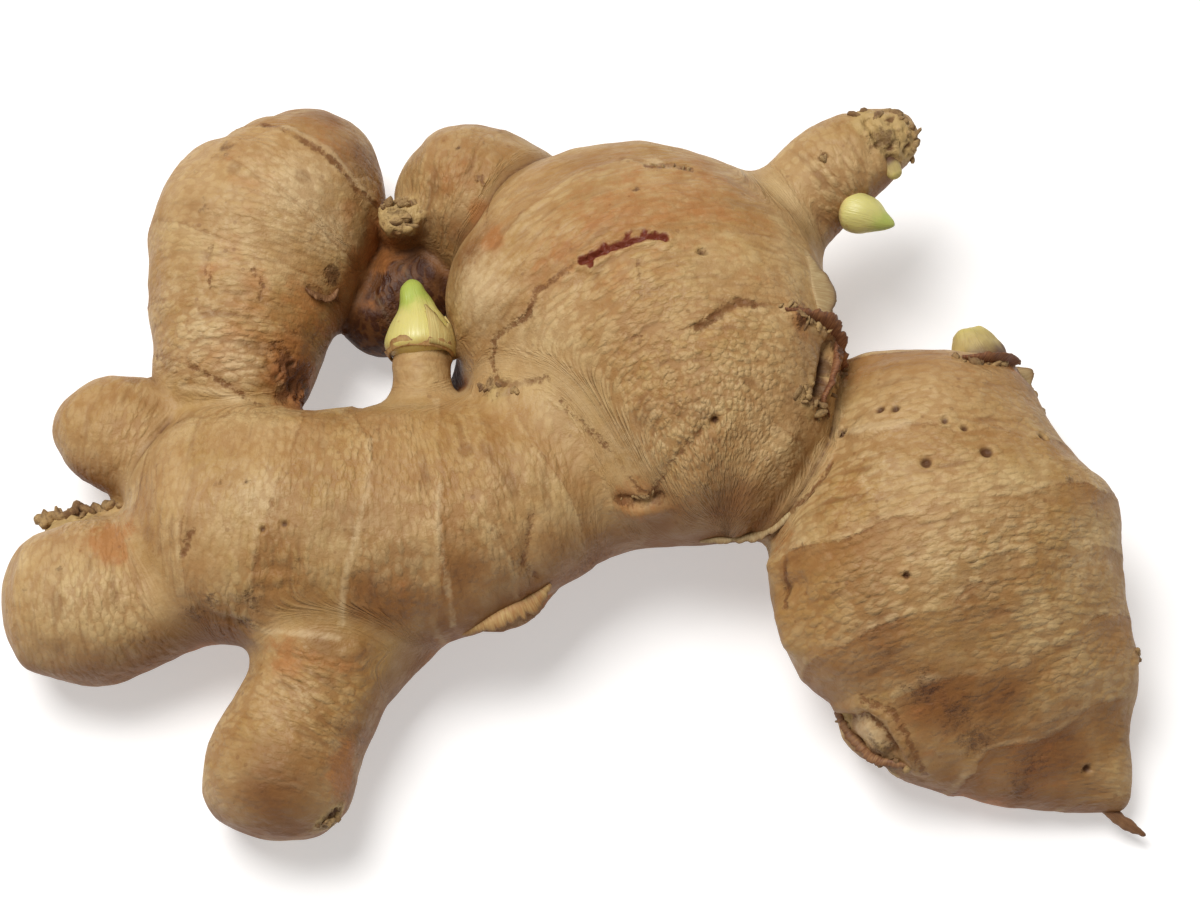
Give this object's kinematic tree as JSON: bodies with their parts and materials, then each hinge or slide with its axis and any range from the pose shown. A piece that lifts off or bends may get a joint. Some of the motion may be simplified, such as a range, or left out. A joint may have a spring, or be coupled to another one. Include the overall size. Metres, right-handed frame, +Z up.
{
  "type": "ginger root",
  "caption": "Fresh ginger rhizome lying on its broad side: a thick branching hand with ringed tan skin, rounded fingers, broken scars and young green-tipped buds.",
  "frame": {"origin": "on the surface that the hand lies on, under the middle of its bounding box", "axes": "+X along the hand's longest extent, from the side finger to the shoulder's tip; +Y away from the front finger, towards the tall finger; +Z up, out of the broad side that faces the viewer"},
  "size_m": [0.1818, 0.1233, 0.0459],
  "materials": {
    "skin": "thin dry papery skin, satin on the swellings and rough at the scars",
    "green_bud": "smooth and waxy, yellow at the base and green at the tip",
    "dry_bud": "dull and half dried"
  },
  "bodies": {
    "root": {"rhizome": "skin", "shoot_bud": "green_bud", "side_bud": "green_bud", "tip_bud": "dry_bud", "dry_bud": "dry_bud"}
  },
  "joints": []
}
